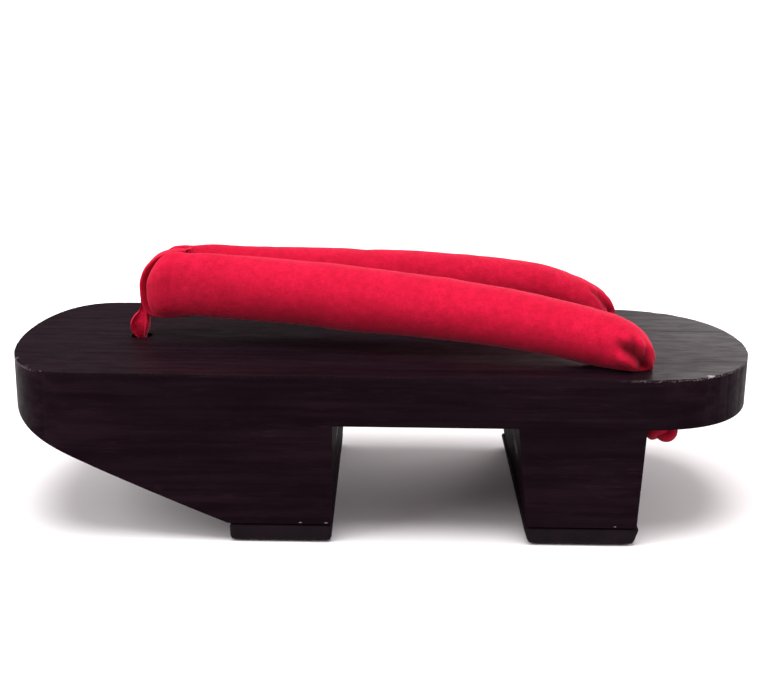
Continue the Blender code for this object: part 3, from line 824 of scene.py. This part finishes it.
# Creases of the strap: points of the path, half width, depth and the ridge beside it. Side 1 is the
# left half. A negative depth is a swelling.
STRAP_CREASES_MM = {
    1: (
        (
            (
                (-70.6, 36.9, 64.0),
                (-73.5, 36.9, 62.2),
                (-75.7, 37.4, 61.0),
                (-79.2, 37.5, 57.7),
                (-80.3, 36.8, 54.6),
            ),
            1.5,
            2.3,
            0.6,
        ),
        (((-75.4, 36.0, 66.0), (-76.6, 36.9, 63.6), (-77.9, 37.6, 60.3)), 1.0, 0.9, 0.2),
        (((-79.6, 36.0, 62.6), (-80.9, 36.5, 59.4), (-81.4, 36.2, 55.2)), 1.2, 1.3, 0.2),
        (((-71.0, 37.4, 59.4), (-74.0, 37.8, 58.0), (-77.2, 37.5, 56.0)), 1.7, -0.6, 0.0),
        (((-77.6, 36.6, 64.8), (-79.0, 36.8, 62.6)), 1.1, -0.6, 0.0),
        (((-66.0, 37.4, 57.4), (-71.0, 37.6, 56.4), (-75.6, 36.8, 55.0)), 0.9, 0.5, 0.1),
        (((-78.6, 29.5, 66.0), (-81.2, 30.0, 63.0), (-83.0, 30.5, 58.0)), 0.9, 0.7, 0.25),
        (((-77.0, 25.5, 63.5), (-80.0, 26.5, 60.5), (-82.0, 28.0, 56.0)), 1.0, 0.9, 0.3),
        (((-71.5, 23.6, 63.0), (-76.5, 24.0, 60.0), (-80.0, 25.5, 56.0)), 1.0, 0.7, 0.3),
    ),
    -1: (
        (((-74.0, -26.5, 66.0), (-77.5, -25.7, 62.0), (-80.0, -26.4, 57.5)), 1.0, 1.1, 0.4),
        (((-71.0, -25.4, 66.8), (-74.6, -25.0, 63.6), (-77.6, -24.8, 59.5)), 0.9, 0.6, 0.2),
        (((-77.0, -30.5, 65.5), (-80.0, -30.5, 62.0), (-82.0, -30.5, 57.5)), 0.9, 0.8, 0.25),
        (((-71.5, -37.5, 63.0), (-76.0, -37.4, 60.5), (-80.0, -36.5, 56.5)), 1.0, 1.2, 0.4),
        (((-76.0, -36.5, 64.5), (-79.0, -36.4, 61.0), (-81.2, -35.5, 56.5)), 0.8, 0.7, 0.25),
    ),
}


def crease_paths(side):
    found = []
    for points, half, depth, ridge in STRAP_CREASES_MM[side]:
        path = [Vector(p) * MM for p in points]
        found.append((path, half * MM, depth * MM, ridge * MM))
    return found


def path_distance(place, path):
    """Distance to a path of straight pieces, and how far along it the nearest point is, 0 to 1."""
    best = (1.0, 0.0)
    pieces = len(path) - 1
    for k in range(pieces):
        piece = path[k + 1] - path[k]
        share = min(max((place - path[k]).dot(piece) / piece.length_squared, 0.0), 1.0)
        away = (place - path[k] - piece * share).length
        if away < best[0]:
            best = (away, (k + share) / pieces)
    return best


# Lumps of the stuffing: height in mm, size and seed. They calm down towards the band.
STUFFING_LUMPS = ((0.30, 0.016, 2.0), (0.14, 0.006, 6.0))
CALM_FROM = 0.055
CALM_SPAN = 0.012
CLOTH_LUMPS = 0.05 * MM
CLOTH_LUMP_SIZE = 0.0021
# The gather round a rear hole
GATHER_REACH = 0.019
GATHER_SPAN = 0.011
GATHER_RISE = 0.002
GATHER_DEPTH = 0.30 * MM
GATHER_PLEATS = 8
# The swelling beside the band and the trough under it, by distance from the middle plane
SWELLING = 0.4 * MM
SWELLING_ASIDE = 5.8 * MM
SWELLING_WIDTH = 1.3 * MM
TROUGH_ASIDE = 4.6 * MM
TROUGH_EDGE = 1.2 * MM
TROUGH_FROM_Z = 0.076
TROUGH_RISE = 0.005
AT_NOSE_FROM = 0.062
AT_NOSE_SPAN = 0.006
CREASE_REACH = 0.03
# The crease depth that gets full painted shade
FULL_SHADE_DEPTH = 1.8 * MM


def strap_relief(place, paths):
    """How far the strap's cloth stands out or in at a place, and how much painted shade its depth in a
    fold gives it.
    """
    calm = 1 - ease((place.x - CALM_FROM) / CALM_SPAN)
    lumps = sum(height * rough(place, size, seed) for height, size, seed in STUFFING_LUMPS)
    relief = lumps * MM * (0.25 + 0.75 * calm)
    relief += CLOTH_LUMPS * rough(place, CLOTH_LUMP_SIZE, 9.0)
    hole = Vector((REAR_HOLE.x, math.copysign(REAR_HOLE.y, place.y), TOP_Z))
    away = (place - hole).length
    gather = ease((GATHER_REACH - away) / GATHER_SPAN) * ease((place.z - TOP_Z - GAP) / GATHER_RISE)
    turn = math.atan2(place.y - hole.y, place.z - hole.z + 0.004)
    relief += gather * GATHER_DEPTH * math.sin(GATHER_PLEATS * turn + 3.5 * rough(place, 0.009, 4.0))
    beside_band = math.exp(-(((abs(place.y) - SWELLING_ASIDE) / SWELLING_WIDTH) ** 2))
    at_nose = ease((place.x - AT_NOSE_FROM) / AT_NOSE_SPAN)
    relief += SWELLING * beside_band * at_nose
    under_band = ease((TROUGH_ASIDE - abs(place.y)) / TROUGH_EDGE)
    under_band *= ease((place.z - TROUGH_FROM_Z) / TROUGH_RISE)
    relief -= (BAND_SUNK + GAP) * under_band * at_nose
    shade = 0.0
    for path, half, depth, ridge in paths:
        if (place - path[0]).length > CREASE_REACH:
            continue
        distance, along = path_distance(place, path)
        taper = ease(along / 0.4 + 0.1)
        relief -= depth * taper * math.exp(-((distance / half) ** 2))
        shade += max(depth, 0.0) / FULL_SHADE_DEPTH * taper * math.exp(-((distance / (1.25 * half)) ** 2))
        relief += ridge * taper * math.exp(-(((distance - 2.1 * half) / half) ** 2))
    return relief, min(shade, 1.0)


def build_strap(side, name, material):
    strap = mesh_object(name, strap_points(side), ring_faces(STRAP_RINGS, STRAP_SIDES, flip=side > 0))
    outward(strap)
    mesh = strap.data
    normals = [v.normal.copy() for v in mesh.vertices]
    paths = crease_paths(side)
    # Painted shade in the creases
    folds = mesh.attributes.new("fold_shade", "FLOAT", "POINT")
    for vertex, normal, fold in zip(mesh.vertices, normals, folds.data):
        place = vertex.co.copy()
        held = place.z < STRAP_LOWEST + 0.00002 or abs(place.y) < STRAP_HALF_GAP + 0.00002
        if not held:
            relief, fold.value = strap_relief(place, paths)
            vertex.co += normal * relief
            vertex.co.z = max(vertex.co.z, STRAP_LOWEST)
            if vertex.co.y * side < STRAP_HALF_GAP:
                vertex.co.y = side * STRAP_HALF_GAP
    mesh.materials.append(material)
    mesh.shade_smooth()
    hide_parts("hanao")
    return strap


# Tubes of cloth


def curve_points(points, count):
    """A smooth curve through the points, as count places."""
    found = []
    last = len(points) - 1
    for k in range(count):
        share = last * k / (count - 1)
        index = min(int(share), last - 1)
        t = share - index
        p0, p1, p2, p3 = (points[min(max(index + j, 0), last)] for j in (-1, 0, 1, 2))
        second = (2 * p0 - 5 * p1 + 4 * p2 - p3) * t**2
        third = (3 * p1 - p0 - 3 * p2 + p3) * t**3
        found.append(0.5 * ((2 * p1) + (p2 - p0) * t + second + third))
    return found


def tube(name, points, sizes, sides=28, side_axis=None, relief=None, closed=False):
    """A tube along points with (half width, half depth) sizes, its width kept along side_axis."""
    count = len(points)
    made = []
    across = side_axis
    for k, place in enumerate(points):
        ahead = points[(k + 1) % count] if closed else points[min(k + 1, count - 1)]
        behind = points[k - 1] if closed or k else points[0]
        tangent = (ahead - behind).normalized()
        if across is None:
            across = tangent.orthogonal()
        axis = side_axis if side_axis is not None else across
        across = (axis - tangent * axis.dot(tangent)).normalized()
        other = tangent.cross(across)
        width, depth = sizes[k]
        for j in range(sides):
            turn = 2 * math.pi * j / sides
            extra = relief(k / (count - 1), turn) if relief else 0.0
            aside = across * ((width + extra) * math.cos(turn))
            made.append(place + aside + other * ((depth + extra) * math.sin(turn)))
    faces = closed_ring_faces(count, sides) if closed else ring_faces(count, sides)
    return outward(mesh_object(name, made, faces))


def joined(name, things):
    """One object of several closed bodies."""
    work = bmesh.new()
    for thing in things:
        work.from_mesh(thing.data)
        bpy.data.objects.remove(thing)
    mesh = bpy.data.meshes.new(name)
    work.to_mesh(mesh)
    work.free()
    mesh.shade_smooth()
    return add_object(name, mesh)


BAND_THICKNESS = 0.0017
BAND_WIDTH = 0.0066
BAND_SUNK = 0.0016
BAND_PROUD = 0.0011
BAND_FILLING = 0.0013
BAND_NARROW = 0.0017
BAND_AHEAD_OF_CROTCH = 0.0009
BAND_FLATNESS = 0.7
BAND_GROOVE_DEPTH = 0.45
BAND_GROOVE_WIDTH = 0.30
BAND_LUMPS = 0.16 * MM
BAND_STEPS = 120
BAND_SIDES = 32
BAND_OUTLINE_STEPS = 80


def band_back():
    """Where the band passes between the strap's halves, along X."""
    return strap_section(CROTCH_SHARE)[0] + BAND_AHEAD_OF_CROTCH


def band_outline():
    """(x, z) points round the joined front of the strap."""
    last = (STRAP_NOSE_X - band_back() - GAP) / STRAP_LENGTH
    points = []
    for k in range(BAND_OUTLINE_STEPS + 1):
        x, _, z, _, above, below = strap_section(last * (k / BAND_OUTLINE_STEPS) ** 2)
        points += [Vector((x, z + above)), Vector((x, z - below))]
    return points


def build_band():
    """The toe loop's band: a folded strip with two rolled edges and a groove along its middle."""
    outline = band_outline()
    back = band_back()
    points = []
    for k in range(BAND_STEPS):
        turn = 2 * math.pi * k / BAND_STEPS
        out = Vector((math.cos(turn), math.sin(turn)))
        support = max(outline, key=lambda p: p.dot(out))
        raised = BAND_PROUD * ease((out.x - 0.3) / 0.6) - BAND_SUNK * ease((out.y - 0.35) / 0.5)
        middle = support + out * (GAP + BAND_THICKNESS / 2 + raised)
        filling = BAND_FILLING * ease((out.x - 0.2) / 0.6)
        half = BAND_NARROW + (BAND_WIDTH / 2 - BAND_NARROW) * ease((support.x - back) / BAND_WIDTH)
        away = Vector((out.x, 0.0, out.y))
        for j in range(BAND_SIDES):
            angle = 2 * math.pi * j / BAND_SIDES
            across = math.sin(angle)
            lift = math.copysign(abs(math.cos(angle)) ** BAND_FLATNESS, math.cos(angle))
            fold = 1 - BAND_GROOVE_DEPTH * math.exp(-((across / BAND_GROOVE_WIDTH) ** 2))
            lift = lift * fold if lift > 0 else lift * (1 + filling / BAND_THICKNESS * 2 * (1 - across**2))
            place = Vector((middle.x, half * across, middle.y))
            place += away * (BAND_THICKNESS / 2 * lift)
            place += away * (BAND_LUMPS * rough(place, 0.004, 12.0) if lift > 0 else 0.0)
            points.append(place)
    return outward(mesh_object("band", points, closed_ring_faces(BAND_STEPS, BAND_SIDES)))


# The fold that goes down into the toe hole: level, middle along X, half length along X, half width
LEAF_ROWS_MM = (
    (66.8, 80.0, 0.75, 2.3),
    (64.6, 79.9, 0.90, 2.4),
    (62.6, 80.0, 1.55, 2.8),
    (60.8, 80.7, 2.60, 3.4),
    (58.6, 81.2, 3.20, 3.9),
    (56.4, 81.3, 2.95, 3.8),
    (54.8, 81.1, 2.15, 3.4),
    (53.4, 80.8, 1.35, 2.8),
    (50.5, 80.9, 1.50, 2.5),
    (44.0, 81.2, 2.50, 2.6),
    (36.0, 81.2, 2.60, 2.6),
)
LEAF_RINGS = 90
LEAF_SIDES = 48
# Half width of the hollow, what the edges add to it, and where they are and how broad
LEAF_HOLLOW = 0.72
LEAF_EDGE = 0.28
LEAF_EDGE_PLACE = 0.80
LEAF_EDGE_WIDTH = 0.13


def build_leaf():
    """A fold of cloth whose two edges stand up along its front and back, with a hollow between them."""
    rows = curve_points([Vector(row[1:]) * MM for row in LEAF_ROWS_MM], LEAF_RINGS)
    levels = curve_points([Vector((row[0], 0.0, 0.0)) * MM for row in LEAF_ROWS_MM], LEAF_RINGS)
    points = []
    for level, (middle, reach, spread) in zip(levels, rows):
        for k in range(LEAF_SIDES):
            turn = 2 * math.pi * k / LEAF_SIDES
            along = math.cos(turn)
            flat = LEAF_HOLLOW * math.sqrt(max(1 - along**10, 0.0))
            rim = LEAF_EDGE * math.exp(-(((abs(along) - LEAF_EDGE_PLACE) / LEAF_EDGE_WIDTH) ** 2))
            aside = math.copysign(spread * (flat + rim), math.sin(turn)) if k % (LEAF_SIDES // 2) else 0.0
            place = Vector((middle + reach * along, aside, level.x))
            place.y *= 1 + 0.10 * rough(place, 0.003, 21.0)
            points.append(place)
    return outward(mesh_object("leaf", points, ring_faces(LEAF_RINGS, LEAF_SIDES)))


def knot_curve(centre, wide, tall, count=110):
    """Places along a trefoil."""
    found = []
    for k in range(count):
        t = 2 * math.pi * k / count
        x = wide * (math.sin(t) + 2 * math.sin(2 * t)) / 3
        y = wide * (math.cos(t) - 2 * math.cos(2 * t)) / 3
        found.append(centre + Vector((x, y, tall * -math.sin(3 * t))))
    return found


TOE_KNOT_DROP = 0.0052
TOE_KNOT_SIZE = (0.0052, 0.0022)
TOE_KNOT_CORD = 0.0023
STUB_PATH_MM = ((81.2, 0, 45.0), (81.2, 0, 36.0), (81.2, 0, 32.5))
STUB_RINGS = 16
STUB_RADIUS = 0.0029


def build_toe_loop(material):
    """The band, the fold that goes down into the toe hole, and the knot in the recess below."""
    centre = Vector((TOE_HOLE_X, 0.0, UNDER_Z - TOE_KNOT_DROP))
    curve = knot_curve(centre, *TOE_KNOT_SIZE)
    knot = tube("knot", curve, [(TOE_KNOT_CORD, TOE_KNOT_CORD)] * len(curve), sides=20, closed=True)
    stub_points = curve_points([Vector(p) * MM for p in STUB_PATH_MM], STUB_RINGS)
    stub_sizes = [(STUB_RADIUS, STUB_RADIUS)] * STUB_RINGS
    stub = tube("stub", stub_points, stub_sizes, side_axis=Vector((0.0, 1.0, 0.0)))
    loop = joined("toe_loop", [build_band(), build_leaf(), knot, stub])
    loop.data.materials.append(material)
    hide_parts("maetsubo")
    return loop


# A tie's path in the frame of its hole, ahead and up. It goes on to below the hole's mouth.
TIE_PATH_MM = ((3.4, 2.0), (2.6, -0.6), (1.2, -3.4), (0.3, -6.0), (0.0, -9.0), (0.0, -14.0))
TIE_BELOW_MOUTH_MM = 2
TIE_RINGS = 30
# Its half width and half depth at the top, and what each gains over the first rings
TIE_SIZES = ((0.0022, 0.0012), (0.0016, 0.0018))
TIE_WIDENING_RINGS = 14
TIE_PLEATS = 9
TIE_PLEAT_DEPTH = 0.00018
TIE_KNOT = (-0.0882, 0.0310, 0.0334)
TIE_KNOT_SIZE = (0.0030, 0.0012)
TIE_KNOT_LONGER = 1.12
TIE_KNOT_CORD = 0.0019
TIE_SHADE = 0.6


def build_tie(side, name, material):
    """The gathered end of the strap in its hole, and the knot under the plate."""
    place = rear_hole_frame(side)
    drops = (*TIE_PATH_MM, (0.0, -rear_hole_length() / MM - TIE_BELOW_MOUTH_MM))
    path = curve_points([place @ Vector((ahead * MM, 0.0, up * MM)) for ahead, up in drops], TIE_RINGS)
    sizes = []
    for k in range(TIE_RINGS):
        wider = ease(k / TIE_WIDENING_RINGS)
        sizes.append(tuple(least + more * wider for least, more in TIE_SIZES))

    def pleats(share, turn):
        return TIE_PLEAT_DEPTH * math.cos(TIE_PLEATS * turn)

    cord = tube("cord", path, sizes, sides=54, side_axis=Vector((0.0, 1.0, 0.0)), relief=pleats)
    x, y, z = TIE_KNOT
    centre = Vector((x, side * y, z))
    curve = knot_curve(Vector((0.0, 0.0, 0.0)), *TIE_KNOT_SIZE)
    curve = [centre + Vector((p.x * TIE_KNOT_LONGER, p.y, p.z)) for p in curve]
    knot = tube("knot", curve, [(TIE_KNOT_CORD, TIE_KNOT_CORD)] * len(curve), sides=18, closed=True)
    tie = joined(name, [cord, knot])
    # Painted shade over the whole tie
    shade = tie.data.attributes.new("fold_shade", "FLOAT", "POINT")
    shade.data.foreach_set("value", [TIE_SHADE] * len(tie.data.vertices))
    tie.data.materials.append(material)
    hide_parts("tie_left" if side > 0 else "tie_right")
    return tie


# Stage


FLOOR_CORNERS = ((-20, -24, 0), (20, -24, 0), (20, 16, 0), (-20, 16, 0))
FLOOR_Z = -0.0004
FLOOR_COLOUR = (0.93, 0.92, 0.925, 1.0)

WORLD_AROUND = (0.52, 0.46, 0.467)
WORLD_LOW_BACK = (3.2, 3.05, 3.1)
WORLD_DIM = (0.09, 0.05, 0.06)

# Name, where it shines from, strength and angle in degrees
SUNS = (
    ("overhead", (0.06, 0.16, 1.0), 2.4, 36),
    ("from_the_toe", (0.85, 0.30, 0.60), 1.5, 40),
    ("from_the_heel", (-0.85, 0.25, 0.60), 0.5, 40),
)


def build_floor():
    floor = mesh_object("floor", FLOOR_CORNERS, [(0, 1, 2, 3)], smooth=False)
    made, _, shader = new_material("pale_floor")
    shader.inputs["Base Color"].default_value = FLOOR_COLOUR
    shader.inputs["Roughness"].default_value = 0.9
    shader.inputs["Specular IOR Level"].default_value = 0.0
    floor.data.materials.append(made)
    floor.location.z = FLOOR_Z


def build_world():
    """A soft studio, bright low down at the back and dim there on one side."""
    world = bpy.data.worlds.new("studio")
    bpy.context.scene.world = world
    world.use_nodes = True
    tree = world.node_tree
    back = tree.nodes["Background"]
    towards = axes_of(tree, node(tree, "ShaderNodeTexCoord").outputs["Generated"])
    behind_left = ramp(tree, towards["X"], -0.26, -0.10)
    low_down = ramp(tree, towards["Z"], 0.35, 0.75, 1.0, 0.0)
    at_back = ramp(tree, towards["Y"], -0.2, -0.55)
    low_back = times(tree, low_down, at_back)
    colour = colour_mix(tree, low_back, WORLD_AROUND, WORLD_LOW_BACK)
    dim = times(tree, behind_left, low_back)
    colour = colour_mix(tree, dim, colour, WORLD_DIM)
    tree.links.new(colour, back.inputs["Color"])


def add_sun(name, towards, strength, degrees):
    data = bpy.data.lights.new(name, "SUN")
    data.energy = strength
    data.angle = math.radians(degrees)
    light = add_object(name, data)
    light.rotation_euler = Vector(towards).to_track_quat("Z", "Y").to_euler()


def build_camera():
    forward = Vector((0.0, -math.cos(VIEW_PITCH), -math.sin(VIEW_PITCH)))
    level = forward.cross(Vector((0, 0, 1))).normalized()
    rise = level.cross(forward)
    right = math.cos(VIEW_ROLL) * level + math.sin(VIEW_ROLL) * rise
    up = -math.sin(VIEW_ROLL) * level + math.cos(VIEW_ROLL) * rise
    data = bpy.data.cameras.new("camera")
    data.sensor_width = VIEW_SENSOR_MM
    data.lens = VIEW_LENS_MM
    camera = add_object("camera", data)
    place = Matrix((right, up, -forward)).transposed().to_4x4()
    place.translation = VIEW_PLACE
    camera.matrix_world = place
    bpy.context.scene.camera = camera


def main():
    wood = wood_material()
    rubber = rubber_material()
    crimson = fabric_material()
    pieces = [
        build_body(wood),
        build_strap(1, "strap_left", crimson),
        build_strap(-1, "strap_right", crimson),
        build_toe_loop(crimson),
        build_tie(1, "rear_tie_left", crimson),
        build_tie(-1, "rear_tie_right", crimson),
    ]
    for piece in pieces:
        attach(piece, "root")
    for name in ("front_tap", "rear_tap"):
        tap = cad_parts[name]
        tap.data.materials.clear()
        tap.data.materials.append(rubber)
    build_floor()
    build_world()
    for sun in SUNS:
        add_sun(*sun)
    build_camera()
    view = bpy.context.scene.view_settings
    view.view_transform = "Standard"
    view.look = "None"


main()
